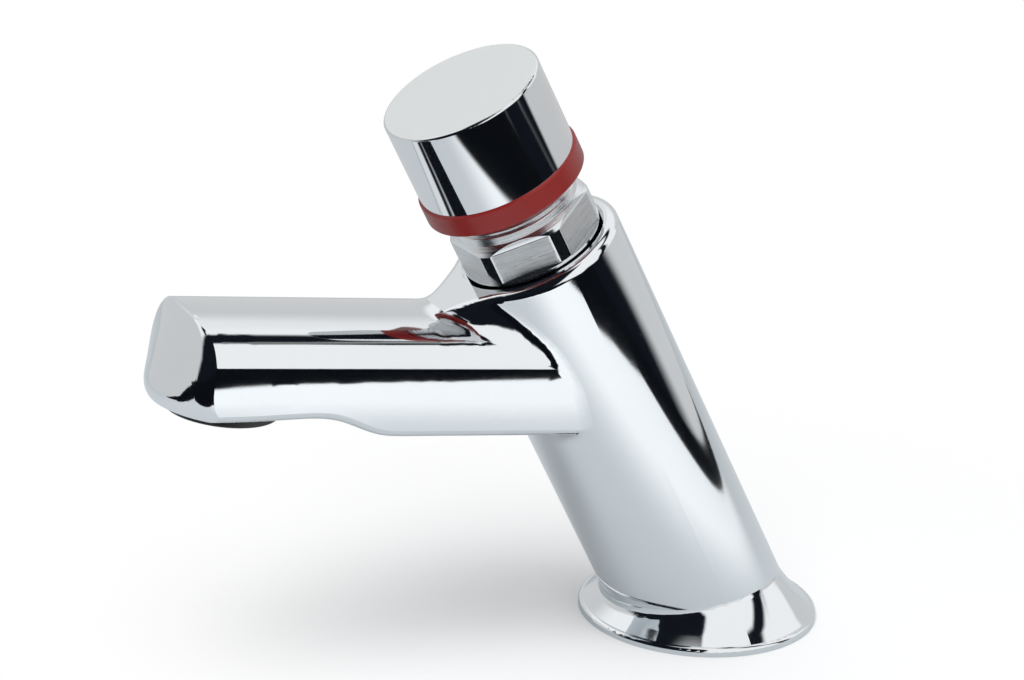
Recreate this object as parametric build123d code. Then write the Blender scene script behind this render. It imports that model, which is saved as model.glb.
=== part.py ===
from build123d import *
import math
import os

os.makedirs("parts", exist_ok=True)

# Push timed basin tap. Lengths are in millimetres and angles in degrees.
# The origin is the centre of the foot's underside, on the deck. Z is up and the spout points to -Y.
# Two more frames are used. In the spindle frame Z runs up the leaning barrel.
# In the outlet frame Z runs up square to the rising spout, from the lower rim of the outlet.

# Clearances
SEAT_FIT = 0.05  # radial gap of what is screwed or pressed together
RUN_FIT = 0.06  # radial gap of what slides or turns
LOOSE_GAP = 0.35  # gap of what passes without touching
OVERRUN = 6.0  # how far a cutting tool runs past the face it cuts

# Foot and barrel
BARREL_TILT = 28.0
BARREL_RADIUS = 17.65
BARREL_LENGTH = 96.0
AXIS_OFFSET = 2.08
RIM_ROUND = 1.8
FOOT_RADIUS = 25.0
FOOT_RIM = 1.8
FOOT_LEDGE = 1.0
FOOT_RIM_ROUND = 0.8
FLARE_RADIUS = 15.6
FLARE_HEIGHT = 11.6
FLARE_HOLLOW = 0.6
FOOT_BLEND = 2.0

# Spout, in the outlet frame
SPOUT_RISE = 6.2
SPOUT_REACH = 107.8
OUTLET_HEIGHT = 57.0
SPOUT_ROOT = 78.0
SPOUT_HALF_WIDTH = 15.4
SPOUT_TOP = 20.9
SPOUT_CROWN = 2.8
SPOUT_UNDER = 2.1
SPOUT_UNDER_MID = 2.85
SPOUT_UNDER_ROOT = -1.1
UNDER_TIP_END = -4.0
UNDER_MID_AT = 15.0
UNDER_ROOT_AT = 31.0
CHEEK_BULGE = 1.5
CHEEK_MIDDLE = 9.5
SPOUT_TOP_ROUND = 7.0
SPOUT_UNDER_ROUND = 2.0
SPOUT_BLEND = 6.0
# Evenly spaced cross-sections of the spout: number, and first and last as shares of the way to its root
STATIONS = 24
FIRST_STATION_SHARE = -0.3
LAST_STATION_SHARE = 1.08
NOSE_TOP_REACH = 10.4
NOSE_LIP_REACH = 16.0
NOSE_TOP_SIDE = 10.35
NOSE_LIP_SIDE = 6.3
NOSE_TOP_CORNER = 4.0
NOSE_LIP_CORNER = 7.0
NOSE_TOP_EDGE = 1.6
NOSE_TOP_INSET = 1.0
NOSE_LIP_EDGE = 4.1
NOSE_LIP_INSET = 1.5
NOSE_SIDE_GAP = 0.08
NOSE_CROWN_GAP = 0.5
NOSE_LEVELS = 40

# Seats and bores of the casting, in the spindle frame
RECESS_RADIUS = 15.2
RECESS_DEPTH = 3.0
HEADWORK_THREAD_RADIUS = 12.5
CHAMBER_RADIUS = 12.0
SEAT_BORE_RADIUS = 10.7
SEAT_BORE_LENGTH = 22.0
INLET_WAY_RADIUS = 6.5
INLET_WAY_RISE = 22.0
RISER_START = 16.5
SPOUT_WAY_RADIUS = 3.8
SPOUT_WAY_START = -2.0

# Tail, fixing and deck
TAIL_RADIUS = 10.478
TAIL_LENGTH = 50.0
TAIL_CHAMFER = 0.8
TAIL_BORE_RADIUS = 6.2
SPIGOT_RADIUS = 8.6
SPIGOT_LENGTH = 10.0
TAIL_RELIEF_DEPTH = 0.9
TAIL_RELIEF_WIDTH = 1.5
TAIL_RELIEF_GAP = 1.5
DECK_THICKNESS = 12.0
RUBBER_WASHER_RADIUS = 20.0
RUBBER_WASHER_THICKNESS = 3.0
STEEL_WASHER_RADIUS = 19.0
STEEL_WASHER_THICKNESS = 1.5
NUT_ACROSS_FLATS = 30.0
NUT_HEIGHT = 9.0
NUT_CHAMFER = 1.2
GASKET_INNER = 14.2
GASKET_MARGIN = 2.6
GASKET_THICKNESS = 1.6
PEG_RADIUS = 2.0
PEG_CIRCLE = 18.4
PEG_DEPTH = 4.0
PEG_REACH = 5.0
TAIL_RING_SECTION = 0.8
TAIL_RING_LEVEL = 2.6

# Inlet strainer
STRAINER_RIM_RADIUS = 7.6
STRAINER_RIM = 1.8
STRAINER_HAT_RADIUS = 5.4
STRAINER_HAT_HEIGHT = 7.0
STRAINER_WALL = 0.6
STRAINER_HOLE_RADIUS = 0.55
STRAINER_HOLES = 12
STRAINER_HOLE_PITCH = 1.7
STRAINER_HOLE_ROWS = 3

# Headwork housing, in the spindle frame
COLLAR_RADIUS = 14.6
COLLAR_HEIGHT = 3.85
HEX_HEIGHT = 6.45
HEX_ACROSS_FLATS = 26.4
HEX_TURN = 4.25
NECK_RADIUS = 13.0
NECK_HEIGHT = 7.6
NECK_GROOVES = 4
NECK_GROOVE_DEPTH = 0.35
NECK_GROOVE_PITCH = 1.1
NECK_GROOVE_START = 1.6
HOUSING_THREAD_LENGTH = 12.0
CUP_RADIUS = 10.3
CUP_DEPTH = 8.0
GLAND_THICKNESS = 5.0
DASHPOT_RADIUS = 9.0
COLLAR_RING_SECTION = 0.55
GLAND_RADIUS = 5.2
BUSH_HEIGHT = 1.8

# Port cage with the valve seat
CAGE_SPIGOT_RADIUS = 10.3
CAGE_SPIGOT_LENGTH = 5.0
CAGE_FLANGE_RADIUS = 11.6
CAGE_FLANGE = 1.8
CAGE_LENGTH = 25.0
CAGE_BORE_RADIUS = 8.2
CAGE_SKIRT = 8.5
PORT_WIDTH = 10.5
PORT_HEIGHT = 13.0
THROAT_RADIUS = 5.5
THROAT_LENGTH = 4.0
SEAT_LIP = 0.6
SEAT_LIP_WIDTH = 1.4
CAGE_RING_SECTION = 0.75
CAGE_RING_LEVEL = 4.0

# Spindle, piston and valve
PRESS_TRAVEL = 5.0
SPINDLE_RADIUS = 3.0
SPINDLE_COLLAR_RADIUS = 4.4
SPINDLE_COLLAR = 0.8
SPINDLE_HEADROOM = 1.3
SPINDLE_TIP_RADIUS = 2.4
SPINDLE_TIP = 7.5
CLIP_GROOVE_DEPTH = 0.5
CLIP_THICKNESS = 0.8
CLIP_RADIUS = 4.5
PISTON_RADIUS = 8.6
PISTON_HEIGHT = 5.0
PISTON_FLANGE = 1.5
PISTON_CORE_RADIUS = 6.0
PISTON_CROWN = 0.9
PISTON_CROWN_RADIUS = 7.3
LIP_BASE = 0.9
LIP_HEIGHT = 2.4
LIP_WALL = 0.5
METERING_CIRCLE = 4.6
METERING_RADIUS = 0.7
METERING_HOLE_RADIUS = 0.95
METERING_HEAD_RADIUS = 1.15
METERING_HEAD = 0.6
VALVE_WASHER_RADIUS = 8.0
VALVE_WASHER_THICKNESS = 3.0
HOLDER_WALL = 0.8
HOLDER_BASE = 2.4
HOLDER_LIP = 1.4
VALVE_SCREW_RADIUS = 1.5
VALVE_SCREW_LENGTH = 7.0
VALVE_SCREW_HEAD_RADIUS = 3.2
VALVE_SCREW_HEAD = 2.0

# Return spring and button
SPRING_WIRE_RADIUS = 0.75
SPRING_RADIUS = 8.4
SPRING_TURNS = 5.0
THRUST_WASHER_RADIUS = 9.6
THRUST_WASHER = 0.8
CARRIER_HEIGHT = 5.0
CARRIER_WEB = 2.0
CARRIER_HUB_RADIUS = 6.5
CARRIER_RIM = 2.2
CAP_RADIUS = 16.25
CAP_HEIGHT = 18.1
CAP_WALL = 1.9
CAP_TOP = 2.4
CAP_EDGE_ROUND = 0.5
CAP_SKIRT = 4.05
RING_RADIUS = 16.7
RING_HEIGHT = 4.7
RING_EDGE_ROUND = 0.4
SLEEVE_GAP = 0.65

# Outlet insert, in the outlet frame
OUTLET_FLANGE_RADIUS = 11.3
OUTLET_FLANGE = 2.75
OUTLET_THREAD_RADIUS = 8.6
OUTLET_HEIGHT_INSIDE = 9.0
OUTLET_BORE_RADIUS = 7.4
OUTLET_LIP_RADIUS = 6.8
OUTLET_LIP = 1.0
OUTLET_EDGE_ROUND = 0.5
OUTLET_WASHER_THICKNESS = 1.6
OUTLET_WASHER_BORE = 6.9
OUTLET_CAVITY_RADIUS = 7.1
OUTLET_CAVITY_HEIGHT = 4.6
CORE_HEIGHT = 6.5
CORE_HOLE_RADIUS = 0.95
CORE_HOLE_PITCH = 2.7
CORE_HOLE_RINGS = 2
MESH_THICKNESS = 0.5


def tilted_frame(y, z, angle, towards):
    """Frame whose Z leans from the vertical in the plane of the spout."""
    lean = math.radians(angle) * towards
    return Plane(origin=(0, y, z), x_dir=(1, 0, 0), z_dir=(0, math.sin(lean), math.cos(lean)))


SPINDLE = tilted_frame(AXIS_OFFSET, 0, BARREL_TILT, -1)
OUTLET = tilted_frame(-SPOUT_REACH, OUTLET_HEIGHT, SPOUT_RISE, 1)


def disc(radius, low, high):
    """Plain cylinder about Z between two heights."""
    base = Align.MIN if high > low else Align.MAX
    return Pos(0, 0, low) * Cylinder(radius, abs(high - low), align=(Align.CENTER, Align.CENTER, base))


def tube(outer, inner, low, high):
    """Cylinder about Z with a bore."""
    return disc(outer, low, high) - disc(inner, low - OVERRUN, high + OVERRUN)


def turned(points):
    """Solid turned about Z from an outline of (radius, height) points."""
    rim = Polyline([(radius, 0, height) for radius, height in points], close=True)
    return revolve(make_face(rim), Axis.Z)


def seal_ring(mean_radius, section, height):
    """Round-section ring about Z."""
    return Pos(0, 0, height) * Torus(mean_radius, section)


def face_of(*curves):
    """Flat face bounded by curves laid end to end."""
    return make_face(Curve() + list(curves))


def only_solid(shape):
    """The one solid of a shape that holds one."""
    return shape.solids().sort_by(SortBy.VOLUME)[-1]


def save(name, shape, frame=None):
    """Write one piece, moved from its own frame to the tap's."""
    placed = shape.moved(frame.location) if frame else shape
    solids = placed.solids()
    piece = solids[0] if len(solids) == 1 else Compound(children=list(solids))
    export_step(piece, f"parts/{name}.step")


def axis_distance(point):
    """Distance of a point from the barrel's axis."""
    offset = point - SPINDLE.origin
    return (offset - SPINDLE.z_dir * offset.dot(SPINDLE.z_dir)).length


def axis_height(point):
    """Height of a point along the barrel's axis."""
    return (point - SPINDLE.origin).dot(SPINDLE.z_dir)


# Levels along the barrel's axis
collar_seat = BARREL_LENGTH - RECESS_DEPTH
hex_low = collar_seat + COLLAR_HEIGHT
hex_high = hex_low + HEX_HEIGHT
neck_low = hex_high + COLLAR_RADIUS - NECK_RADIUS
neck_top = neck_low + NECK_HEIGHT
cup_floor = neck_top - CUP_DEPTH
dashpot_top = cup_floor - GLAND_THICKNESS
gland_ring = (GLAND_RADIUS - SPINDLE_RADIUS - 2 * RUN_FIT) / 2
gland_floor = cup_floor - BUSH_HEIGHT - 2 * gland_ring - RUN_FIT
housing_end = collar_seat - HOUSING_THREAD_LENGTH
thread_end = housing_end - LOOSE_GAP
seat_level = housing_end - CAGE_LENGTH
seat_bore_top = seat_level + CAGE_SKIRT - LOOSE_GAP
seat_bore_end = seat_bore_top - SEAT_BORE_LENGTH
piston_top = dashpot_top - SPINDLE_HEADROOM - SPINDLE_COLLAR
piston_low = piston_top - PISTON_HEIGHT
valve_low = seat_level - VALVE_WASHER_THICKNESS
carrier_low = neck_top + PRESS_TRAVEL + THRUST_WASHER + LOOSE_GAP
carrier_top = carrier_low + CARRIER_HEIGHT
spindle_top = carrier_low + SPINDLE_TIP
thrust_low = carrier_low - THRUST_WASHER
cap_low = carrier_low - CAP_SKIRT
cap_top = cap_low + CAP_HEIGHT
ring_low = cap_low - RING_HEIGHT
sleeve_top = carrier_low - SLEEVE_GAP

# Rings in grooves
collar_ring_radius = (HEADWORK_THREAD_RADIUS + COLLAR_RADIUS) / 2
cage_ring_radius = SEAT_BORE_RADIUS - CAGE_RING_SECTION
tail_groove_radius = SPIGOT_RADIUS + SEAT_FIT - 2 * TAIL_RING_SECTION

# Levels of the outlet
outlet_washer_top = OUTLET_HEIGHT_INSIDE + OUTLET_WASHER_THICKNESS
cavity_top = outlet_washer_top + OUTLET_CAVITY_HEIGHT
spout_way_height = cavity_top - SPOUT_WAY_RADIUS

# Base gasket, set in from the rim of the foot
gasket_outer = FOOT_RADIUS - GASKET_MARGIN

# Levels of the fixing below the deck
rubber_washer_low = -DECK_THICKNESS - RUBBER_WASHER_THICKNESS
steel_washer_low = rubber_washer_low - STEEL_WASHER_THICKNESS
nut_low = steel_washer_low - NUT_HEIGHT
relief_high = nut_low - TAIL_RELIEF_GAP
relief_low = relief_high - TAIL_RELIEF_WIDTH


def cheek_at(level):
    """Half width of the spout at one level of its bulging cheeks."""
    from_middle_share = (level - CHEEK_MIDDLE) / (SPOUT_TOP - CHEEK_MIDDLE)
    return SPOUT_HALF_WIDTH - CHEEK_BULGE * from_middle_share ** 2


def under_at(along):
    """Level of the spout's underside at one distance behind the outlet."""
    if along <= UNDER_MID_AT:
        start, finish = UNDER_TIP_END, UNDER_MID_AT
        low, high = SPOUT_UNDER, SPOUT_UNDER_MID
    else:
        start, finish = UNDER_MID_AT, UNDER_ROOT_AT
        low, high = SPOUT_UNDER_MID, SPOUT_UNDER_ROOT
    way_share = min(max((along - start) / (finish - start), 0), 1)
    return low + (high - low) * way_share ** 2 * (3 - 2 * way_share)


def spout_section(along):
    """Cross-section of the spout: crowned top, bulging cheeks, flat underside, rounded corners."""
    top, low = SPOUT_TOP - SPOUT_CROWN, under_at(along)
    middle = (top + low) / 2
    top_half, middle_half, low_half = cheek_at(top), cheek_at(middle), cheek_at(low)
    section = face_of(
        ThreePointArc((-top_half, along, top), (0, along, SPOUT_TOP), (top_half, along, top)),
        ThreePointArc((top_half, along, top), (middle_half, along, middle), (low_half, along, low)),
        Line((low_half, along, low), (-low_half, along, low)),
        ThreePointArc((-low_half, along, low), (-middle_half, along, middle), (-top_half, along, top)),
    )
    section = fillet([corner for corner in section.vertices() if corner.Z > middle], SPOUT_TOP_ROUND)
    corners = [corner for corner in section.vertices() if corner.Z < low + SPOUT_UNDER_ROUND / 2]
    return fillet(corners, SPOUT_UNDER_ROUND)


def edge_inset(depth, inset, edge):
    """How far the nose is drawn back at one depth below the edge that it rounds over."""
    return inset * max(1 - depth / edge, 0) ** 3


def nose_half_at(level, section):
    """Half width of the nose at one level, just outside the spout's cheeks and crown."""
    if level <= CHEEK_MIDDLE:
        return cheek_at(level) + NOSE_SIDE_GAP
    below = level - NOSE_CROWN_GAP
    across = section & Line((-SPOUT_HALF_WIDTH, 0, below), (SPOUT_HALF_WIDTH, 0, below))
    return max(point.X for point in across.vertices()) + NOSE_SIDE_GAP


def nose_plan(level, section):
    """Plan of the nose at one level: a bowed front that turns rounder towards the lip."""
    drop_share = (SPOUT_TOP - level) / (SPOUT_TOP - SPOUT_UNDER)
    lip_share = drop_share ** 6
    inset = edge_inset(SPOUT_TOP - level, NOSE_TOP_INSET, NOSE_TOP_EDGE)
    inset += edge_inset(level - SPOUT_UNDER, NOSE_LIP_INSET, NOSE_LIP_EDGE)
    front = inset - NOSE_TOP_REACH - (NOSE_LIP_REACH - NOSE_TOP_REACH) * drop_share
    side = inset - NOSE_TOP_SIDE - (NOSE_LIP_SIDE - NOSE_TOP_SIDE) * lip_share
    corner = NOSE_TOP_CORNER + (NOSE_LIP_CORNER - NOSE_TOP_CORNER) * lip_share
    half, back = nose_half_at(level, section), 2 * UNDER_ROOT_AT
    corner = min(corner, half / 2)
    plan = face_of(
        Line((-half, back, level), (-half, side, level)),
        ThreePointArc((-half, side, level), (0, front, level), (half, side, level)),
        Line((half, side, level), (half, back, level)),
        Line((half, back, level), (-half, back, level)),
    )
    return fillet([point for point in plan.vertices() if point.Y < 0], corner)


def make_spout():
    """Solid spout in the outlet frame, from its nose to inside the barrel."""
    first, last = SPOUT_ROOT * FIRST_STATION_SHARE, SPOUT_ROOT * LAST_STATION_SHARE
    step = (last - first) / (STATIONS - 1)
    beam = only_solid(loft([spout_section(first + step * count) for count in range(STATIONS)]))
    low, high = SPOUT_UNDER - LOOSE_GAP, SPOUT_TOP + LOOSE_GAP
    rise = (high - low) / (NOSE_LEVELS - 1)
    tip = spout_section(0)
    nose = only_solid(loft([nose_plan(low + rise * count, tip) for count in range(NOSE_LEVELS)]))
    side = 2 * SPOUT_ROOT
    front = Pos(0, UNDER_MID_AT, 0) * Box(side, side, side, align=(Align.CENTER, Align.MAX, Align.CENTER))
    return only_solid((beam & front & nose) + (beam - front))


def make_casting():
    """Outside of the casting: leaning barrel, spout and flared foot, blended together."""
    stretch = BARREL_LENGTH + 2 * BARREL_RADIUS
    barrel = disc(BARREL_RADIUS, -BARREL_RADIUS, stretch).moved(SPINDLE.location)
    deck = 2 * stretch
    above_deck = Box(deck, deck, deck, align=(Align.CENTER, Align.CENTER, Align.MIN))
    barrel = only_solid(barrel & above_deck)
    casting = only_solid(barrel + make_spout().moved(OUTLET.location))
    near = SEAT_FIT / 5
    joint = [
        edge
        for edge in casting.edges()
        if all(abs(axis_distance(edge @ at) - BARREL_RADIUS) < near for at in (0, 0.5, 1))
        and (edge @ 0.5).Y < -BARREL_RADIUS
        and edge.length < BARREL_LENGTH
        and FOOT_RIM < (edge @ 0.5).Z < BARREL_LENGTH
    ]
    casting = casting.fillet(SPOUT_BLEND, joint)
    crop = disc(BARREL_RADIUS + SPOUT_BLEND, BARREL_LENGTH, stretch + OVERRUN)
    casting = only_solid(casting - crop.moved(SPINDLE.location))
    rim = [edge for edge in casting.edges() if abs(axis_height(edge @ 0.5) - BARREL_LENGTH) < near]
    rim = [edge for edge in rim if axis_distance(edge @ 0.5) < BARREL_RADIUS + SPOUT_BLEND / 2]
    casting = casting.fillet(RIM_ROUND, rim)

    start = (FOOT_RADIUS - FOOT_LEDGE, 0, FOOT_RIM)
    finish = (FLARE_RADIUS, 0, FLARE_HEIGHT)
    run = Vector(*finish) - Vector(*start)
    hollow = Vector(run.Z, 0, -run.X).normalized() * -FLARE_HOLLOW
    middle = Vector(*start) + run / 2 + hollow
    foot_face = face_of(
        Line((0, 0, 0), (FOOT_RADIUS, 0, 0)),
        Line((FOOT_RADIUS, 0, 0), (FOOT_RADIUS, 0, FOOT_RIM)),
        Line((FOOT_RADIUS, 0, FOOT_RIM), start),
        ThreePointArc(start, middle, finish),
        Line(finish, (0, 0, FLARE_HEIGHT)),
        Line((0, 0, FLARE_HEIGHT), (0, 0, 0)),
    )
    foot = only_solid(revolve(foot_face, Axis.Z))
    at_rim = [edge for edge in foot.edges() if abs((edge @ 0.5).Z - FOOT_RIM) < near]
    foot = foot.fillet(FOOT_RIM_ROUND, [max(at_rim, key=lambda edge: edge.length)])
    casting = only_solid(casting + foot)
    waist = [
        edge
        for edge in casting.edges()
        if FOOT_RIM < (edge @ 0.5).Z < FLARE_HEIGHT
        and edge.length > BARREL_RADIUS
        and abs(axis_distance(edge @ 0.5) - BARREL_RADIUS) < near
    ]
    ledge = FOOT_RADIUS - FOOT_LEDGE + AXIS_OFFSET - BARREL_RADIUS / SPINDLE.z_dir.Z
    return only_solid(casting.fillet(min(FOOT_BLEND, ledge / 3), waist))


def make_tap_body():
    """Casting with its bores, waterways and seats cut."""
    body = make_casting()
    bores = (
        disc(RECESS_RADIUS, collar_seat, BARREL_LENGTH + OVERRUN)
        + disc(HEADWORK_THREAD_RADIUS + SEAT_FIT, thread_end, collar_seat + RECESS_DEPTH)
        + disc(CHAMBER_RADIUS, seat_bore_top, thread_end + SEAT_FIT)
        + disc(SEAT_BORE_RADIUS, seat_bore_end, seat_bore_top + SEAT_FIT)
        + disc(INLET_WAY_RADIUS, RISER_START, seat_bore_end + SEAT_FIT)
    )
    body = body - bores.moved(SPINDLE.location)
    body = body - disc(INLET_WAY_RADIUS, 0, INLET_WAY_RISE)
    body = body - disc(SPIGOT_RADIUS + SEAT_FIT, -OVERRUN, SPIGOT_LENGTH + LOOSE_GAP)
    body = body - tube(gasket_outer + LOOSE_GAP, GASKET_INNER - LOOSE_GAP, -OVERRUN, GASKET_THICKNESS)
    peg_hole = disc(PEG_RADIUS + SEAT_FIT, -OVERRUN, PEG_DEPTH + LOOSE_GAP)
    body = body - Pos(0, PEG_CIRCLE, 0) * peg_hole
    way = Pos(0, SPOUT_WAY_START, spout_way_height) * Rot(-90, 0, 0) * disc(
        SPOUT_WAY_RADIUS, 0, SPOUT_ROOT - SPOUT_WAY_START
    )
    outlet = (
        disc(OUTLET_FLANGE_RADIUS + LOOSE_GAP, -OVERRUN, OUTLET_FLANGE)
        + disc(OUTLET_THREAD_RADIUS + SEAT_FIT, -OVERRUN, outlet_washer_top)
        + disc(OUTLET_CAVITY_RADIUS, outlet_washer_top - SEAT_FIT, cavity_top)
        + way
    )
    return only_solid(body - outlet.moved(OUTLET.location))


def make_tail():
    """Threaded inlet tail: spigot in the foot, shank below the deck."""
    shank = turned(
        [
            (0, SPIGOT_LENGTH),
            (SPIGOT_RADIUS, SPIGOT_LENGTH),
            (SPIGOT_RADIUS, 0),
            (TAIL_RADIUS, 0),
            (TAIL_RADIUS, relief_high),
            (TAIL_RADIUS - TAIL_RELIEF_DEPTH, relief_high),
            (TAIL_RADIUS - TAIL_RELIEF_DEPTH, relief_low),
            (TAIL_RADIUS, relief_low),
            (TAIL_RADIUS, TAIL_CHAMFER - TAIL_LENGTH),
            (TAIL_RADIUS - TAIL_CHAMFER, -TAIL_LENGTH),
            (0, -TAIL_LENGTH),
        ]
    )
    groove_low = TAIL_RING_LEVEL - TAIL_RING_SECTION
    groove_high = TAIL_RING_LEVEL + TAIL_RING_SECTION
    groove = tube(SPIGOT_RADIUS + OVERRUN, tail_groove_radius, groove_low, groove_high)
    bore = disc(TAIL_BORE_RADIUS, -TAIL_LENGTH - OVERRUN, SPIGOT_LENGTH + OVERRUN)
    mouth = disc(STRAINER_RIM_RADIUS + SEAT_FIT, -TAIL_LENGTH - OVERRUN, STRAINER_RIM - TAIL_LENGTH)
    return shank - groove - bore - mouth


def make_strainer():
    """Hat-shaped inlet strainer with rows of holes round its wall and one in its crown."""
    crown = STRAINER_HAT_HEIGHT
    hat = turned(
        [
            (STRAINER_HAT_RADIUS - STRAINER_WALL, 0),
            (STRAINER_RIM_RADIUS, 0),
            (STRAINER_RIM_RADIUS, STRAINER_RIM),
            (STRAINER_HAT_RADIUS, STRAINER_RIM),
            (STRAINER_HAT_RADIUS, crown),
            (0, crown),
            (0, crown - STRAINER_WALL),
            (STRAINER_HAT_RADIUS - STRAINER_WALL, crown - STRAINER_WALL),
        ]
    )
    drill = Rot(0, 90, 0) * disc(STRAINER_HOLE_RADIUS, 0, STRAINER_HAT_RADIUS + OVERRUN)
    first = STRAINER_RIM + STRAINER_HOLE_RADIUS * 2
    for row in range(STRAINER_HOLE_ROWS):
        for count in range(STRAINER_HOLES):
            turn = 360 * (count + row / 2) / STRAINER_HOLES
            hat = hat - Rot(0, 0, turn) * Pos(0, 0, first + row * STRAINER_HOLE_PITCH) * drill
    top_drill = disc(STRAINER_HOLE_RADIUS, 0, crown + OVERRUN)
    for count in range(STRAINER_HOLES // 2):
        turn = 720 * count / STRAINER_HOLES
        hat = hat - Rot(0, 0, turn) * Pos(STRAINER_HAT_RADIUS / 2, 0, 0) * top_drill
    return Pos(0, 0, -TAIL_LENGTH) * (hat - top_drill)


def make_back_nut():
    """Hexagonal back nut, bevelled at both faces."""
    flats = RegularPolygon(NUT_ACROSS_FLATS / 2, 6, major_radius=False)
    nut = Pos(0, 0, nut_low) * extrude(flats, amount=NUT_HEIGHT)
    corner = NUT_ACROSS_FLATS / math.sqrt(3)
    envelope = turned(
        [
            (0, nut_low),
            (corner - NUT_CHAMFER * math.sqrt(3), nut_low),
            (corner, nut_low + NUT_CHAMFER),
            (corner, nut_low + NUT_HEIGHT - NUT_CHAMFER),
            (corner - NUT_CHAMFER * math.sqrt(3), nut_low + NUT_HEIGHT),
            (0, nut_low + NUT_HEIGHT),
        ]
    )
    return (nut & envelope) - disc(TAIL_RADIUS + SEAT_FIT, nut_low - OVERRUN, -DECK_THICKNESS)


def make_housing():
    """Headwork housing: threaded barrel, hexagon collar, grooved neck and spring cup."""
    outline = [
        (0, housing_end),
        (HEADWORK_THREAD_RADIUS, housing_end),
        (HEADWORK_THREAD_RADIUS, collar_seat),
        (COLLAR_RADIUS, collar_seat),
        (COLLAR_RADIUS, hex_high),
        (NECK_RADIUS, neck_low),
    ]
    for count in range(NECK_GROOVES):
        low = neck_low + NECK_GROOVE_START + count * NECK_GROOVE_PITCH
        outline += [
            (NECK_RADIUS, low),
            (NECK_RADIUS - NECK_GROOVE_DEPTH, low + NECK_GROOVE_PITCH / 3),
            (NECK_RADIUS, low + NECK_GROOVE_PITCH * 2 / 3),
        ]
    outline += [(NECK_RADIUS, neck_top), (0, neck_top)]
    housing = turned(outline)
    flats = RegularPolygon(HEX_ACROSS_FLATS / 2, 6, major_radius=False, rotation=HEX_TURN)
    keep = Pos(0, 0, hex_low) * extrude(flats, amount=neck_top - hex_low)
    milled = disc(COLLAR_RADIUS + OVERRUN, hex_low, neck_top) - keep
    housing = housing - milled
    housing = housing - disc(CUP_RADIUS, cup_floor, neck_top + OVERRUN)
    housing = housing - disc(DASHPOT_RADIUS, housing_end - OVERRUN, dashpot_top)
    spigot_top = housing_end + CAGE_SPIGOT_LENGTH
    housing = housing - disc(CAGE_SPIGOT_RADIUS + SEAT_FIT, housing_end - OVERRUN, spigot_top)
    housing = housing - disc(SPINDLE_RADIUS + RUN_FIT, dashpot_top - OVERRUN, cup_floor + OVERRUN)
    housing = housing - disc(GLAND_RADIUS, gland_floor, cup_floor + OVERRUN)
    groove = tube(
        collar_ring_radius + COLLAR_RING_SECTION + SEAT_FIT,
        collar_ring_radius - COLLAR_RING_SECTION - SEAT_FIT,
        collar_seat - OVERRUN,
        collar_seat + 2 * COLLAR_RING_SECTION,
    )
    return housing - groove


def make_port_cage():
    """Cage screwed into the housing, with side ports above and the valve seat below."""
    skirt_top = seat_level + CAGE_SKIRT
    skirt_radius = SEAT_BORE_RADIUS - SEAT_FIT
    flange_low = housing_end - CAGE_FLANGE
    throat_top = seat_level + THROAT_LENGTH
    cage = turned(
        [
            (THROAT_RADIUS, seat_level),
            (THROAT_RADIUS + SEAT_LIP_WIDTH, seat_level),
            (THROAT_RADIUS + SEAT_LIP_WIDTH, seat_level + SEAT_LIP),
            (skirt_radius, seat_level + SEAT_LIP),
            (skirt_radius, flange_low),
            (CAGE_FLANGE_RADIUS, flange_low),
            (CAGE_FLANGE_RADIUS, housing_end),
            (CAGE_SPIGOT_RADIUS, housing_end),
            (CAGE_SPIGOT_RADIUS, housing_end + CAGE_SPIGOT_LENGTH - LOOSE_GAP),
            (CAGE_BORE_RADIUS, housing_end + CAGE_SPIGOT_LENGTH - LOOSE_GAP),
            (CAGE_BORE_RADIUS, throat_top + CAGE_BORE_RADIUS - THROAT_RADIUS),
            (THROAT_RADIUS, throat_top),
        ]
    )
    port = Pos(0, 0, skirt_top) * Box(
        PORT_WIDTH,
        2 * (CAGE_FLANGE_RADIUS + OVERRUN),
        PORT_HEIGHT,
        align=(Align.CENTER, Align.CENTER, Align.MIN),
    )
    level = seat_level + CAGE_RING_LEVEL
    groove = tube(
        skirt_radius + OVERRUN,
        SEAT_BORE_RADIUS - 2 * CAGE_RING_SECTION,
        level - CAGE_RING_SECTION,
        level + CAGE_RING_SECTION,
    )
    return cage - port - Rot(0, 0, 90) * port - groove


def make_spindle():
    """Spindle from the valve to the button, with a collar, two clip grooves and a tapped end."""
    collar_top = piston_top + SPINDLE_COLLAR
    clip_high = piston_low
    clip_low = piston_low - CLIP_THICKNESS
    tip_clip_low = carrier_top
    tip_clip_high = carrier_top + CLIP_THICKNESS
    spindle = turned(
        [
            (0, valve_low),
            (SPINDLE_RADIUS, valve_low),
            (SPINDLE_RADIUS, clip_low),
            (SPINDLE_RADIUS - CLIP_GROOVE_DEPTH, clip_low),
            (SPINDLE_RADIUS - CLIP_GROOVE_DEPTH, clip_high),
            (SPINDLE_RADIUS, clip_high),
            (SPINDLE_RADIUS, piston_top),
            (SPINDLE_COLLAR_RADIUS, piston_top),
            (SPINDLE_COLLAR_RADIUS, collar_top),
            (SPINDLE_RADIUS, collar_top),
            (SPINDLE_RADIUS, carrier_low),
            (SPINDLE_TIP_RADIUS, carrier_low),
            (SPINDLE_TIP_RADIUS, tip_clip_low),
            (SPINDLE_TIP_RADIUS - CLIP_GROOVE_DEPTH, tip_clip_low),
            (SPINDLE_TIP_RADIUS - CLIP_GROOVE_DEPTH, tip_clip_high),
            (SPINDLE_TIP_RADIUS, tip_clip_high),
            (SPINDLE_TIP_RADIUS, spindle_top),
            (0, spindle_top),
        ]
    )
    tapped = valve_low + VALVE_SCREW_LENGTH + LOOSE_GAP
    return spindle - disc(VALVE_SCREW_RADIUS + SEAT_FIT, valve_low - OVERRUN, tapped)


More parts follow.
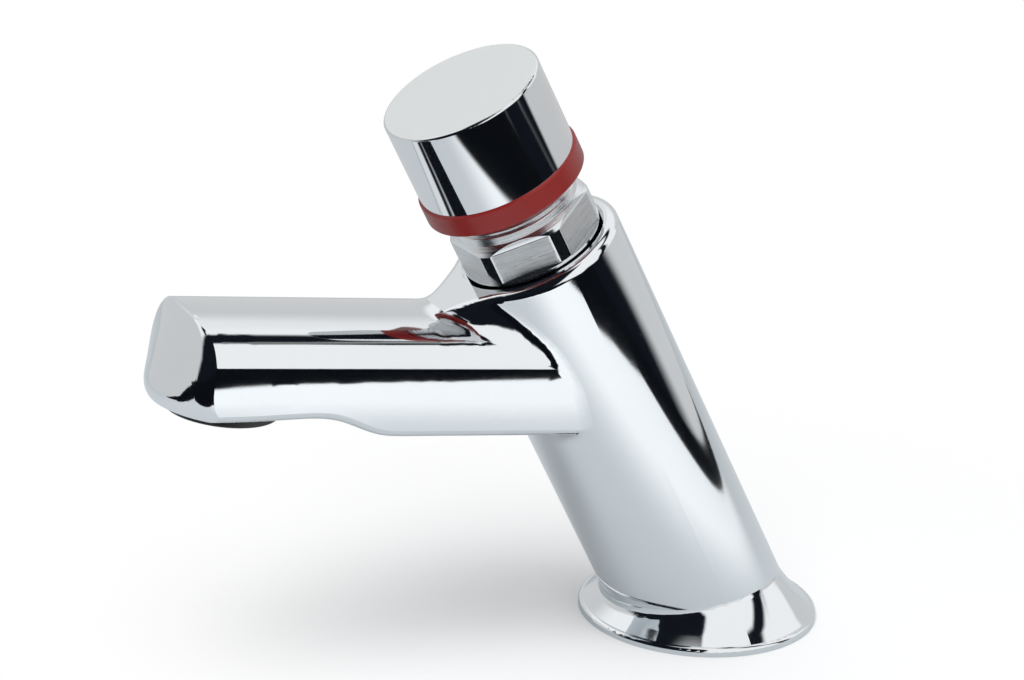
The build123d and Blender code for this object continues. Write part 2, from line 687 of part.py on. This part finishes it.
def make_clip(groove_radius, low):
    """Open retaining clip that snaps into a groove from the side."""
    inner = groove_radius + SEAT_FIT
    clip = tube(CLIP_RADIUS, inner, low, low + CLIP_THICKNESS)
    mouth = Pos(0, -CLIP_RADIUS / 2, low + CLIP_THICKNESS / 2) * Box(
        2 * inner * math.sin(math.radians(60)), CLIP_RADIUS, 2 * CLIP_THICKNESS
    )
    return clip - mouth


def make_piston():
    """Dashpot piston with a groove for the lip seal and a metering hole."""
    core_low = piston_low + PISTON_FLANGE
    crown_low = piston_top - PISTON_CROWN
    piston = turned(
        [
            (SPINDLE_RADIUS + SEAT_FIT, piston_low),
            (PISTON_RADIUS, piston_low),
            (PISTON_RADIUS, core_low),
            (PISTON_CORE_RADIUS, core_low),
            (PISTON_CORE_RADIUS, crown_low),
            (PISTON_CROWN_RADIUS, crown_low),
            (PISTON_CROWN_RADIUS, piston_top),
            (SPINDLE_RADIUS + SEAT_FIT, piston_top),
        ]
    )
    hole = disc(METERING_HOLE_RADIUS, piston_low - OVERRUN, piston_top + OVERRUN)
    head = disc(METERING_HEAD_RADIUS + SEAT_FIT, piston_top - METERING_HEAD, piston_top + OVERRUN)
    return piston - Pos(METERING_CIRCLE, 0, 0) * (hole + head)


def make_lip_seal():
    """Cup seal whose lip opens upwards against the dashpot wall."""
    low = piston_low + PISTON_FLANGE
    inner = PISTON_CORE_RADIUS + SEAT_FIT
    lip = DASHPOT_RADIUS - RUN_FIT
    return turned(
        [
            (inner, low),
            (PISTON_RADIUS - LIP_WALL, low),
            (lip, low + LIP_HEIGHT),
            (lip - LIP_WALL, low + LIP_HEIGHT),
            (PISTON_CROWN_RADIUS, low + LIP_BASE),
            (inner, low + LIP_BASE),
        ]
    )


def make_metering_pin():
    """Headed pin that leaves a narrow ring of its hole open."""
    shank = disc(METERING_RADIUS, piston_low, piston_top - METERING_HEAD)
    head = disc(METERING_HEAD_RADIUS, piston_top - METERING_HEAD, piston_top)
    return Pos(METERING_CIRCLE, 0, 0) * (shank + head)


def make_valve_holder():
    """Cup that carries the valve washer."""
    cup = VALVE_WASHER_RADIUS + SEAT_FIT
    return turned(
        [
            (VALVE_SCREW_RADIUS + SEAT_FIT, valve_low - HOLDER_BASE),
            (cup + HOLDER_WALL, valve_low - HOLDER_BASE),
            (cup + HOLDER_WALL, valve_low + HOLDER_LIP),
            (cup, valve_low + HOLDER_LIP),
            (cup, valve_low),
            (VALVE_SCREW_RADIUS + SEAT_FIT, valve_low),
        ]
    )


def make_valve_screw():
    """Slotted screw that clamps the valve holder to the spindle."""
    base = valve_low - HOLDER_BASE
    head_low = base - VALVE_SCREW_HEAD
    screw = disc(VALVE_SCREW_RADIUS, base, valve_low + VALVE_SCREW_LENGTH)
    screw = screw + disc(VALVE_SCREW_HEAD_RADIUS, head_low, base)
    slot = Pos(0, 0, head_low) * Box(
        2 * VALVE_SCREW_HEAD_RADIUS + OVERRUN, VALVE_SCREW_RADIUS / 2, VALVE_SCREW_HEAD
    )
    return screw - slot


def make_spring():
    """Coiled return spring between the cup floor and the thrust washer."""
    low = cup_floor + SPRING_WIRE_RADIUS
    high = thrust_low - SPRING_WIRE_RADIUS
    pitch = (high - low) / SPRING_TURNS
    coil = Pos(0, 0, low) * Helix(pitch, high - low, SPRING_RADIUS)
    wire = Plane(origin=coil @ 0, z_dir=coil % 0) * Circle(SPRING_WIRE_RADIUS)
    return sweep(wire, path=coil, is_frenet=True)


def make_carrier():
    """Carrier disc that turns on the spindle and holds the cap by its rim."""
    rim = CAP_RADIUS - CAP_WALL - SEAT_FIT
    web_top = carrier_low + CARRIER_WEB
    return turned(
        [
            (SPINDLE_TIP_RADIUS + RUN_FIT, carrier_low),
            (rim, carrier_low),
            (rim, carrier_top),
            (rim - CARRIER_RIM, carrier_top),
            (rim - CARRIER_RIM, web_top),
            (CARRIER_HUB_RADIUS, web_top),
            (CARRIER_HUB_RADIUS, carrier_top - RUN_FIT),
            (SPINDLE_TIP_RADIUS + RUN_FIT, carrier_top - RUN_FIT),
        ]
    )


def make_cap():
    """Hollow push cap with a flat top."""
    cap = disc(CAP_RADIUS, cap_low, cap_top)
    top_edge = cap.edges().sort_by(Axis.Z)[-1]
    cap = fillet(top_edge, CAP_EDGE_ROUND)
    return cap - disc(CAP_RADIUS - CAP_WALL, cap_low - OVERRUN, cap_top - CAP_TOP)


def make_indice_ring():
    """Coloured ring below the cap, with a thin sleeve pushed up inside it."""
    bore = NECK_RADIUS + LOOSE_GAP
    ring = disc(RING_RADIUS, ring_low, cap_low)
    ring = fillet(ring.edges().filter_by(GeomType.CIRCLE), RING_EDGE_ROUND)
    sleeve = disc(CAP_RADIUS - CAP_WALL - SEAT_FIT, ring_low + RING_HEIGHT / 2, sleeve_top)
    return (ring + sleeve) - disc(bore, ring_low - OVERRUN, sleeve_top + OVERRUN)


def make_outlet_housing():
    """Screwed outlet insert with a flange below the spout and a lip that holds the core."""
    flange = disc(OUTLET_FLANGE_RADIUS, 0, OUTLET_FLANGE)
    flange = fillet(flange.edges().sort_by(Axis.Z)[0], OUTLET_EDGE_ROUND)
    shell = flange + disc(OUTLET_THREAD_RADIUS, OUTLET_FLANGE / 2, OUTLET_HEIGHT_INSIDE)
    shell = shell - disc(OUTLET_LIP_RADIUS, -OVERRUN, OUTLET_HEIGHT_INSIDE + OVERRUN)
    return shell - disc(OUTLET_BORE_RADIUS, OUTLET_LIP, OUTLET_HEIGHT_INSIDE + OVERRUN)


def drilled(plate, drill):
    """Plate with rings of holes round a centre hole, on a hexagonal pattern."""
    plate = plate - drill
    for ring in range(1, CORE_HOLE_RINGS + 1):
        for count in range(6 * ring):
            turn = 60 * count / ring
            plate = plate - Rot(0, 0, turn) * Pos(ring * CORE_HOLE_PITCH, 0, 0) * drill
    return plate


def make_outlet_core():
    """Flow straightener with parallel channels."""
    radius = OUTLET_BORE_RADIUS - SEAT_FIT
    core = disc(radius, OUTLET_LIP, OUTLET_LIP + CORE_HEIGHT)
    return drilled(core, disc(CORE_HOLE_RADIUS, OUTLET_LIP - OVERRUN, OUTLET_LIP + CORE_HEIGHT + OVERRUN))


def make_outlet_mesh():
    """Perforated screen on top of the core."""
    low = OUTLET_LIP + CORE_HEIGHT
    mesh = disc(OUTLET_BORE_RADIUS - SEAT_FIT, low, low + MESH_THICKNESS)
    return drilled(mesh, disc(CORE_HOLE_RADIUS * 2 / 3, low - OVERRUN, low + OVERRUN))


peg = disc(PEG_RADIUS, -PEG_REACH, PEG_DEPTH)
gasket = tube(gasket_outer, GASKET_INNER, 0, GASKET_THICKNESS)
gasket = gasket - Pos(0, PEG_CIRCLE, 0) * disc(PEG_RADIUS + LOOSE_GAP, -OVERRUN, OVERRUN)
rubber_washer = tube(RUBBER_WASHER_RADIUS, TAIL_RADIUS + LOOSE_GAP, rubber_washer_low, -DECK_THICKNESS)
steel_washer = tube(STEEL_WASHER_RADIUS, TAIL_RADIUS + LOOSE_GAP, steel_washer_low, rubber_washer_low)
valve_washer = tube(VALVE_WASHER_RADIUS, SPINDLE_RADIUS + SEAT_FIT, valve_low, seat_level)
bush_low = cup_floor - BUSH_HEIGHT

save("tap_body", make_tap_body())
save("inlet_tail", make_tail())
save("tail_o_ring", seal_ring(tail_groove_radius + TAIL_RING_SECTION, TAIL_RING_SECTION, TAIL_RING_LEVEL))
save("base_gasket", gasket)
save("anti_rotation_peg", Pos(0, PEG_CIRCLE, 0) * peg)
save("clamp_washer_rubber", rubber_washer)
save("clamp_washer_steel", steel_washer)
save("back_nut", make_back_nut())
save("inlet_strainer", make_strainer())
save("headwork_housing", make_housing(), SPINDLE)
collar_ring_level = collar_seat + COLLAR_RING_SECTION
save("collar_o_ring", seal_ring(collar_ring_radius, COLLAR_RING_SECTION, collar_ring_level), SPINDLE)
save("port_cage", make_port_cage(), SPINDLE)
save("cage_o_ring", seal_ring(cage_ring_radius, CAGE_RING_SECTION, seat_level + CAGE_RING_LEVEL), SPINDLE)
gland_ring_level = gland_floor + gland_ring
save("gland_o_ring", seal_ring((GLAND_RADIUS + SPINDLE_RADIUS) / 2, gland_ring, gland_ring_level), SPINDLE)
save("gland_bush", tube(GLAND_RADIUS - SEAT_FIT, SPINDLE_RADIUS + RUN_FIT, bush_low, cup_floor), SPINDLE)
save("spindle", make_spindle(), SPINDLE)
save("piston", make_piston(), SPINDLE)
save("piston_lip_seal", make_lip_seal(), SPINDLE)
save("metering_pin", make_metering_pin(), SPINDLE)
save("piston_clip", make_clip(SPINDLE_RADIUS - CLIP_GROOVE_DEPTH, piston_low - CLIP_THICKNESS), SPINDLE)
save("valve_washer", valve_washer, SPINDLE)
save("valve_holder", make_valve_holder(), SPINDLE)
save("valve_screw", make_valve_screw(), SPINDLE)
save("return_spring", make_spring(), SPINDLE)
thrust_bore = SPINDLE_RADIUS + LOOSE_GAP
save("thrust_washer", tube(THRUST_WASHER_RADIUS, thrust_bore, thrust_low, carrier_low), SPINDLE)
save("cap_carrier", make_carrier(), SPINDLE)
save("carrier_clip", make_clip(SPINDLE_TIP_RADIUS - CLIP_GROOVE_DEPTH, carrier_top), SPINDLE)
save("push_cap", make_cap(), SPINDLE)
save("indice_ring", make_indice_ring(), SPINDLE)
save("outlet_housing", make_outlet_housing(), OUTLET)
washer = tube(OUTLET_THREAD_RADIUS, OUTLET_WASHER_BORE, OUTLET_HEIGHT_INSIDE, outlet_washer_top)
save("outlet_washer", washer, OUTLET)
save("outlet_core", make_outlet_core(), OUTLET)
save("outlet_mesh", make_outlet_mesh(), OUTLET)
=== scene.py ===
import math

import bmesh
import bpy
from mathutils import Matrix, Vector

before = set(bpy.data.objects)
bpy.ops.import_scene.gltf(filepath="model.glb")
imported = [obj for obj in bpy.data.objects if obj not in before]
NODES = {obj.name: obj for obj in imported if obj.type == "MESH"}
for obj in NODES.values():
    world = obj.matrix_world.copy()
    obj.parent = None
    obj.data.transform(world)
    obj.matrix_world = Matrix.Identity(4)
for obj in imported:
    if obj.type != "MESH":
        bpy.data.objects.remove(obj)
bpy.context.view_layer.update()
MM = 0.001

# The leaning spindle axis, the outlet's frame and the tail's, as the solids have them
BARREL_TILT = math.radians(28.0)
AXIS_FOOT = Vector((0.0, 2.08, 0.0)) * MM
AXIS = Vector((0.0, -math.sin(BARREL_TILT), math.cos(BARREL_TILT)))
SPOUT_RISE = math.radians(6.2)
OUTLET_FOOT = Vector((0.0, -107.8, 57.0)) * MM
OUTLET_UP = Vector((0.0, math.sin(SPOUT_RISE), math.cos(SPOUT_RISE)))
DECK = Vector((0.0, 0.0, 0.0))
UP = Vector((0.0, 0.0, 1.0))

# Edges between finishes, in millimetres along the spindle axis or away from it
CAP_TOP_LEVELS = (132.55, 132.66)
CAP_TOP_RADII = (15.75, 15.95)
FLATS_LOW = (96.8, 97.0)
FLATS_HIGH = (103.2, 103.4)
FLATS_RADII = (14.35, 14.55)
NECK_LEVELS = (103.9, 104.1)

# Colours
WHITE = (1.0, 1.0, 1.0)
CAST_CHROME = (0.83, 0.86, 0.88)
CHROME = (0.80, 0.82, 0.84)
BRASS = (0.76, 0.56, 0.27)
STEEL = (0.60, 0.60, 0.60)
RED = (0.25, 0.009, 0.007)
WHITE_PLASTIC = (0.75, 0.75, 0.71)

# The room as chrome sees it: degrees round from +X towards +Y, and degrees above the horizon
CEILING = (57.0, 67.0)
WIDE_WINDOW = (-12.0, 58.0)
WIDE_WINDOW_RISE = (-1.0, 78.0)
SILL = (2.0, 36.0)
SILL_RISE = (-9.5, 4.0)
FAR_WINDOW = (73.0, 108.0)
FAR_WINDOW_RISE = (4.0, 50.0)
POST = (57.0, 70.0)
POST_RISE = (-4.0, 58.0)
# How far out each straight edge of the table lies, in metres, and which way it faces, in degrees
TABLE_EDGES = ((0.171, -41.0), (0.203, -8.0), (0.328, 53.0))
TABLE_EDGE_BLUR = 0.004


class Value:
    """A socket of a material that can be used in plain arithmetic."""

    def __init__(self, finish, socket):
        self.finish = finish
        self.socket = socket

    def _math(self, operation, first, second):
        return self.finish.node("ShaderNodeMath", {"operation": operation}, {0: first, 1: second})

    def __add__(self, other):
        return self._math("ADD", self, other)

    def __sub__(self, other):
        return self._math("SUBTRACT", self, other)

    def __rsub__(self, other):
        return self._math("SUBTRACT", other, self)

    def __mul__(self, other):
        return self._math("MULTIPLY", self, other)

    def __truediv__(self, other):
        return self._math("DIVIDE", self, other)

    def most(self, other):
        """The larger of the two."""
        return self._math("MAXIMUM", self, other)

    __radd__ = __add__
    __rmul__ = __mul__


class Finish:
    """One material's node tree, or the world's."""

    def __init__(self, owner):
        owner.use_nodes = True
        self.tree = owner.node_tree
        self.tree.nodes.clear()

    def node(self, kind, settings=None, inputs=None, output=0):
        """Adds a node: its settings first, then the values or links of its sockets."""
        made = self.tree.nodes.new(kind)
        for name, value in (settings or {}).items():
            if name == "stops":
                ramp = made.color_ramp
                while len(ramp.elements) > 1:
                    ramp.elements.remove(ramp.elements[-1])
                for count, (place, tint) in enumerate(value):
                    stop = ramp.elements[0] if count == 0 else ramp.elements.new(place)
                    stop.position = place
                    stop.color = (*tint, 1.0)
            else:
                setattr(made, name, value)
        for name, value in (inputs or {}).items():
            socket = made.inputs[name]
            if isinstance(value, Value):
                self.tree.links.new(value.socket, socket)
            else:
                socket.default_value = value
        return Value(self, made.outputs[output]) if made.outputs else None

    def place(self):
        """Place on the object, in metres."""
        return self.node("ShaderNodeTexCoord", output="Object")

    def vector(self, operation, first, second):
        output = "Value" if operation in ("DOT_PRODUCT", "LENGTH", "DISTANCE") else 0
        inputs = {0: first} if operation == "LENGTH" else {0: first, 1: second}
        return self.node("ShaderNodeVectorMath", {"operation": operation}, inputs, output)

    def along(self, foot, direction):
        """Distance along an axis from its foot, in millimetres."""
        offset = self.vector("SUBTRACT", self.place(), foot)
        return self.vector("DOT_PRODUCT", offset, direction / MM)

    def aside(self, foot, direction):
        """Distance from an axis, in millimetres."""
        offset = self.vector("SUBTRACT", self.place(), foot)
        on_axis = self.vector("DOT_PRODUCT", offset, direction)
        shadow = self.node("ShaderNodeVectorMath", {"operation": "SCALE"}, {0: direction, "Scale": on_axis})
        across = self.vector("SUBTRACT", offset, shadow)
        return self.vector("LENGTH", across, None) / MM

    def noise(self, scale, detail=2.0, roughness=0.5, at=None):
        place = self.place() if at is None else at
        return self.node(
            "ShaderNodeTexNoise",
            None,
            {"Vector": place, "Scale": scale, "Detail": detail, "Roughness": roughness},
        )

    def blend(self, factor, first, second):
        """Colour between two colours."""
        return self.node(
            "ShaderNodeMix",
            {"data_type": "RGBA"},
            {"Factor": factor, 6: first, 7: second},
            output=2,
        )

    def step(self, value, low, high):
        """Smooth rise from none at low to full at high."""
        return self.node(
            "ShaderNodeMapRange",
            {"interpolation_type": "SMOOTHSTEP"},
            {"Value": value, "From Min": low, "From Max": high},
        )

    def span(self, value, low, high, edge):
        """One between low and high, with soft edges."""
        return self.step(value, low - edge, low + edge) * (1.0 - self.step(value, high - edge, high + edge))

    def bump(self, height, distance, strength=1.0, over=None):
        inputs = {"Height": height, "Distance": distance, "Strength": strength}
        if over is not None:
            inputs["Normal"] = over
        return self.node("ShaderNodeBump", None, inputs)

    def surface(self, **inputs):
        """The main shader, from its sockets' names with underscores for spaces."""
        named = {name.replace("_", " "): value for name, value in inputs.items()}
        shader = self.node("ShaderNodeBsdfPrincipled", None, named)
        self.node("ShaderNodeOutputMaterial", None, {"Surface": shader})


def colour(red, green, blue):
    return (red, green, blue, 1.0)


def shaded(tint, share, lift=0.0):
    """A tint made darker or paler."""
    return colour(*(part * share + lift for part in tint))


def new_finish(name):
    material = bpy.data.materials.new(name)
    return material, Finish(material)


def polished_chrome(name, tint, waviness=0.15):
    """Mirror plate on hand-polished metal: faint waves, faint haze and a few dull specks."""
    material, finish = new_finish(name)
    haze = finish.noise(45.0, 3.0)
    specks = finish.step(finish.noise(900.0, 2.0), 0.66, 0.78)
    waves = finish.noise(38.0, 1.0)
    grain = finish.noise(2600.0, 2.0)
    soft = finish.bump(waves, 0.00012 * waviness)
    finish.surface(
        Base_Color=finish.blend(haze * 0.6 + specks * 0.3, colour(*tint), shaded(tint, 0.93)),
        Metallic=1.0,
        Roughness=haze * 0.03 + specks * 0.05 + 0.035,
        Normal=finish.bump(grain, 0.0000012, over=soft),
    )
    return material


def button_chrome():
    """Push cap: satin top face, bright edge and mirror side."""
    material, finish = new_finish("button_chrome")
    height = finish.along(AXIS_FOOT, AXIS)
    radius = finish.aside(AXIS_FOOT, AXIS)
    top = finish.step(height, *CAP_TOP_LEVELS) * (1.0 - finish.step(radius, *CAP_TOP_RADII))
    haze = finish.noise(60.0, 3.0)
    pitting = finish.noise(3200.0, 4.0, 0.6)
    side = finish.blend(haze, colour(*CHROME), colour(0.74, 0.76, 0.78))
    satin = finish.blend(pitting, colour(0.84, 0.87, 0.87), colour(0.93, 0.96, 0.96))
    soft = finish.bump(finish.noise(60.0, 1.0), 0.00003)
    finish.surface(
        Base_Color=finish.blend(top, side, satin),
        Metallic=1.0,
        Roughness=top * (pitting * 0.12 + 0.36) + (1.0 - top) * (haze * 0.02 + 0.035),
        Normal=finish.bump(pitting * top, 0.00004, over=soft),
    )
    return material


def brushed_hexagon():
    """Headwork: flats ground across the axis, polished corners and collar, turned neck."""
    material, finish = new_finish("brushed_hexagon")
    height = finish.along(AXIS_FOOT, AXIS)
    radius = finish.aside(AXIS_FOOT, AXIS)
    level = finish.step(height, *FLATS_LOW) * (1.0 - finish.step(height, *FLATS_HIGH))
    flats = level * (1.0 - finish.step(radius, *FLATS_RADII))
    neck = finish.step(height, *NECK_LEVELS)
    around = finish.node("ShaderNodeCombineXYZ", None, {"X": height})
    grooves = finish.noise(9.0, 4.0, 0.6, at=around)
    upright = finish.node(
        "ShaderNodeMapping",
        {"vector_type": "POINT"},
        {"Vector": finish.place(), "Rotation": (-BARREL_TILT, 0.0, 0.0)},
    )
    lines = finish.vector("MULTIPLY", upright, (130.0, 130.0, 5200.0))
    scratches = finish.noise(1.0, 4.0, 0.7, at=lines)
    haze = finish.noise(80.0, 2.0)
    ground = finish.blend(scratches, colour(0.42, 0.43, 0.44), colour(0.86, 0.88, 0.90))
    plate = finish.blend(haze, colour(*CHROME), colour(0.72, 0.74, 0.76))
    finish.surface(
        Base_Color=finish.blend(flats, plate, ground),
        Metallic=1.0,
        Roughness=flats * (scratches * 0.16 + 0.22)
        + neck * grooves * 0.2
        + (1.0 - flats) * (haze * 0.05 + 0.06),
        Normal=finish.bump(scratches * flats + grooves * neck, 0.00006),
    )
    return material


def moulded_plastic(name, tint, gloss=0.42, gritty=0.00003):
    """Moulded plastic with a fine grain and slight unevenness of colour."""
    material, finish = new_finish(name)
    cloud = finish.noise(120.0, 3.0)
    grain = finish.noise(1800.0, 3.0, 0.6)
    finish.surface(
        Base_Color=finish.blend(cloud, colour(*tint), shaded(tint, 0.82)),
        Roughness=grain * 0.14 + gloss,
        Normal=finish.bump(grain, gritty),
    )
    return material


def turned_metal(name, tint, foot, direction, rough=0.22):
    """Metal turned on a lathe, with fine rings square to its axis."""
    material, finish = new_finish(name)
    height = finish.along(foot, direction)
    radius = finish.aside(foot, direction)
    across = finish.node("ShaderNodeCombineXYZ", None, {"X": height, "Y": radius})
    rings = finish.node(
        "ShaderNodeTexNoise", {"noise_dimensions": "2D"}, {"Vector": across, "Scale": 7.0, "Detail": 4.0}
    )
    stain = finish.noise(90.0, 3.0)
    finish.surface(
        Base_Color=finish.blend(rings * 0.6 + stain * 0.4, colour(*tint), shaded(tint, 0.78)),
        Metallic=1.0,
        Roughness=rings * 0.16 + stain * 0.08 + rough,
        Normal=finish.bump(rings, 0.00003),
    )
    return material


def sheet_rubber(name, tint):
    """Rubber with a dull, dusty skin."""
    material, finish = new_finish(name)
    dust = finish.noise(240.0, 4.0, 0.65)
    grain = finish.noise(1500.0, 2.0)
    finish.surface(
        Base_Color=finish.blend(dust, colour(*tint), shaded(tint, 1.7, 0.01)),
        Roughness=dust * 0.2 + 0.62,
        Normal=finish.bump(grain, 0.00005),
    )
    return material


FINISHES = (
    (polished_chrome("chrome_casting", CAST_CHROME), "tap_body"),
    (button_chrome(), "push_cap"),
    (brushed_hexagon(), "headwork_housing"),
    (moulded_plastic("red_ring_plastic", RED, 0.3, 0.000008), "indice_ring"),
    (moulded_plastic("black_outlet_plastic", (0.012, 0.012, 0.014), 0.3), "outlet_housing"),
    (moulded_plastic("dark_core_plastic", (0.045, 0.045, 0.05), 0.45), "outlet_core"),
    (moulded_plastic("white_plastic", WHITE_PLASTIC, 0.4), "gland_bush piston cap_carrier"),
    (turned_metal("spindle_brass", BRASS, AXIS_FOOT, AXIS), "port_cage metering_pin valve_holder"),
    (turned_metal("tail_brass", BRASS, DECK, UP), "inlet_tail back_nut anti_rotation_peg"),
    (
        turned_metal("spindle_steel", STEEL, AXIS_FOOT, AXIS),
        "return_spring spindle piston_clip valve_screw thrust_washer carrier_clip",
    ),
    (turned_metal("deck_steel", STEEL, DECK, UP), "clamp_washer_steel inlet_strainer"),
    (turned_metal("outlet_steel", STEEL, OUTLET_FOOT, OUTLET_UP), "outlet_mesh"),
    (
        sheet_rubber("seal_rubber", (0.012, 0.012, 0.012)),
        "outlet_washer tail_o_ring collar_o_ring cage_o_ring gland_o_ring piston_lip_seal valve_washer",
    ),
    (sheet_rubber("sheet_rubber", (0.05, 0.05, 0.052)), "clamp_washer_rubber base_gasket"),
)
for material, pieces in FINISHES:
    for piece in pieces.split():
        slots = NODES[piece].data.materials
        slots.clear()
        slots.append(material)


def make_floor():
    """Pale round floor. It fades into the white background, and chrome sees it end as a table does."""
    shape = bmesh.new()
    bmesh.ops.create_circle(shape, cap_ends=True, segments=96, radius=0.62)
    mesh = bpy.data.meshes.new("deck_floor")
    shape.to_mesh(mesh)
    shape.free()
    floor = bpy.data.objects.new("deck_floor", mesh)
    bpy.context.scene.collection.objects.link(floor)
    material, finish = new_finish("deck_floor")
    cloud = finish.noise(3.0, 2.0)
    pale = finish.blend(cloud, colour(0.90, 0.905, 0.91), colour(0.87, 0.875, 0.88))
    place = finish.place()
    away = finish.vector("LENGTH", place, None)
    past_edge = 0.0
    for reach, bearing in TABLE_EDGES:
        outward = (math.cos(math.radians(bearing)), math.sin(math.radians(bearing)), 0.0)
        out = finish.vector("DOT_PRODUCT", place, outward)
        past_side = finish.step(out, reach - TABLE_EDGE_BLUR, reach + TABLE_EDGE_BLUR)
        past_edge = past_side.most(past_edge)
    camera = finish.node("ShaderNodeLightPath", output="Is Camera Ray")
    glossy = finish.node("ShaderNodeLightPath", output="Is Glossy Ray")
    # The table shines where it faces the window
    # Painted sheen: as chrome sees it, the table's colour goes from grey to pale where it faces the window,
    # standing in for the window's light on the table
    painted_window_sheen = finish.step(finish.vector("DOT_PRODUCT", place, (0.97, 0.24, 0.0)), 0.03, 0.12)
    table_in_chrome_with_painted_sheen = finish.blend(painted_window_sheen, colour(0.58, 0.61, 0.63), colour(0.92, 0.94, 0.95))
    table = finish.node("ShaderNodeBsdfDiffuse", None, {"Color": finish.blend(glossy, pale, table_in_chrome_with_painted_sheen)})
    white_light = finish.node("ShaderNodeEmission", None, {"Color": colour(*WHITE), "Strength": 1.0})
    dark = finish.node("ShaderNodeEmission", None, {"Color": colour(0.004, 0.005, 0.007), "Strength": 1.0})
    fade = camera * finish.step(away, 0.035, 0.15)
    seen = finish.node("ShaderNodeMixShader", None, {0: fade, 1: table, 2: white_light})
    mirrored = finish.node("ShaderNodeMixShader", None, {0: glossy * past_edge, 1: seen, 2: dark})
    finish.node("ShaderNodeOutputMaterial", None, {"Surface": mirrored})
    mesh.materials.append(material)


def make_world():
    """White studio. In chrome it also shows its two bright windows, their frames and its dark side."""
    world = bpy.data.worlds.new("studio")
    bpy.context.scene.world = world
    studio = Finish(world)
    direction = studio.node("ShaderNodeTexCoord", output="Generated")
    axes = ((1.0, 0.0, 0.0), (0.0, 1.0, 0.0), (0.0, 0.0, 1.0))
    east, north, high = (studio.vector("DOT_PRODUCT", direction, axis) for axis in axes)
    bearing = studio.node("ShaderNodeMath", {"operation": "ARCTAN2"}, {0: north, 1: east}) * math.degrees(1.0)
    rise = studio.node("ShaderNodeMath", {"operation": "ARCSINE"}, {0: high}) * math.degrees(1.0)
    walls = 0.66 + studio.step(rise, 22.0, 40.0) * 0.34
    wide_window = studio.span(bearing, *WIDE_WINDOW, 2.0) * studio.span(rise, *WIDE_WINDOW_RISE, 1.5)
    window_sill = studio.span(bearing, *SILL, 4.0) * studio.span(rise, *SILL_RISE, 1.5)
    far_window = studio.span(bearing, *FAR_WINDOW, 5.0) * studio.span(rise, *FAR_WINDOW_RISE, 8.0)
    frame_post = studio.span(bearing, *POST, 2.5) * studio.span(rise, *POST_RISE, 3.0)
    dark_side = studio.step(bearing, -112.0, -92.0) * (1.0 - studio.step(bearing, -15.0, -9.0))
    dark_side = dark_side * (1.0 - studio.step(rise, 70.0, 80.0))
    below = studio.step(bearing, -110.0, -98.0) * (1.0 - studio.step(bearing, 72.0, 90.0))
    below = below * (1.0 - studio.step(rise, -3.0, 0.0)) * (1.0 - window_sill)
    ceiling = studio.span(rise, *CEILING, 3.0) * (1.0 - studio.span(bearing, -12.0, 56.0, 4.0))
    shade = dark_side.most(frame_post).most(below).most(ceiling)
    tone = walls.most(wide_window).most(window_sill).most(far_window) * (1.0 - shade)
    room = studio.blend(tone, colour(0.006, 0.008, 0.012), colour(*WHITE))
    plain = colour(0.74, 0.74, 0.74)
    camera = studio.node("ShaderNodeLightPath", output="Is Camera Ray")
    glossy = studio.node("ShaderNodeLightPath", output="Is Glossy Ray")
    through = studio.node("ShaderNodeLightPath", output="Is Transmission Ray")
    shown = studio.blend(camera.most(through), studio.blend(glossy, plain, room), colour(*WHITE))
    background = studio.node("ShaderNodeBackground", None, {"Color": shown, "Strength": 1.0})
    studio.node("ShaderNodeOutputWorld", None, {"Surface": background})


def make_camera():
    """Camera at the photograph's angle."""
    azimuth, elevation, roll = (math.radians(angle) for angle in (64.228, 19.472, 2.978))
    forward = Vector(
        (
            -math.sin(azimuth) * math.cos(elevation),
            math.cos(azimuth) * math.cos(elevation),
            -math.sin(elevation),
        )
    )
    level = Vector((math.cos(azimuth), math.sin(azimuth), 0.0))
    upright = level.cross(forward)
    right = math.cos(roll) * level + math.sin(roll) * upright
    upward = -math.sin(roll) * level + math.cos(roll) * upright
    turn = Matrix((right, upward, -forward)).transposed().to_4x4()
    lens = bpy.data.cameras.new("camera")
    lens.sensor_width = 36.0
    lens.lens = 123.047
    lens.clip_start = 0.01
    camera = bpy.data.objects.new("camera", lens)
    camera.matrix_world = Matrix.Translation(Vector((592.19, -332.278, 297.27)) * MM) @ turn
    bpy.context.scene.collection.objects.link(camera)
    bpy.context.scene.camera = camera


def make_lamp():
    """Soft square lamp overhead. Chrome shows the room and not the lamp."""
    data = bpy.data.lights.new("overhead_lamp", "AREA")
    data.shape = "RECTANGLE"
    data.size, data.size_y = 0.6, 0.6
    data.energy = 5.0
    place, aim = Vector((0.3, -0.3, 0.9)), Vector((0.0, -0.04, 0.05))
    lamp = bpy.data.objects.new("overhead_lamp", data)
    lamp.location = place
    lamp.rotation_euler = (aim - place).to_track_quat("-Z", "Y").to_euler()
    lamp.visible_glossy = False
    bpy.context.scene.collection.objects.link(lamp)


make_floor()
make_world()
make_camera()
make_lamp()
bpy.context.scene.view_settings.view_transform = "Standard"
bpy.context.view_layer.update()
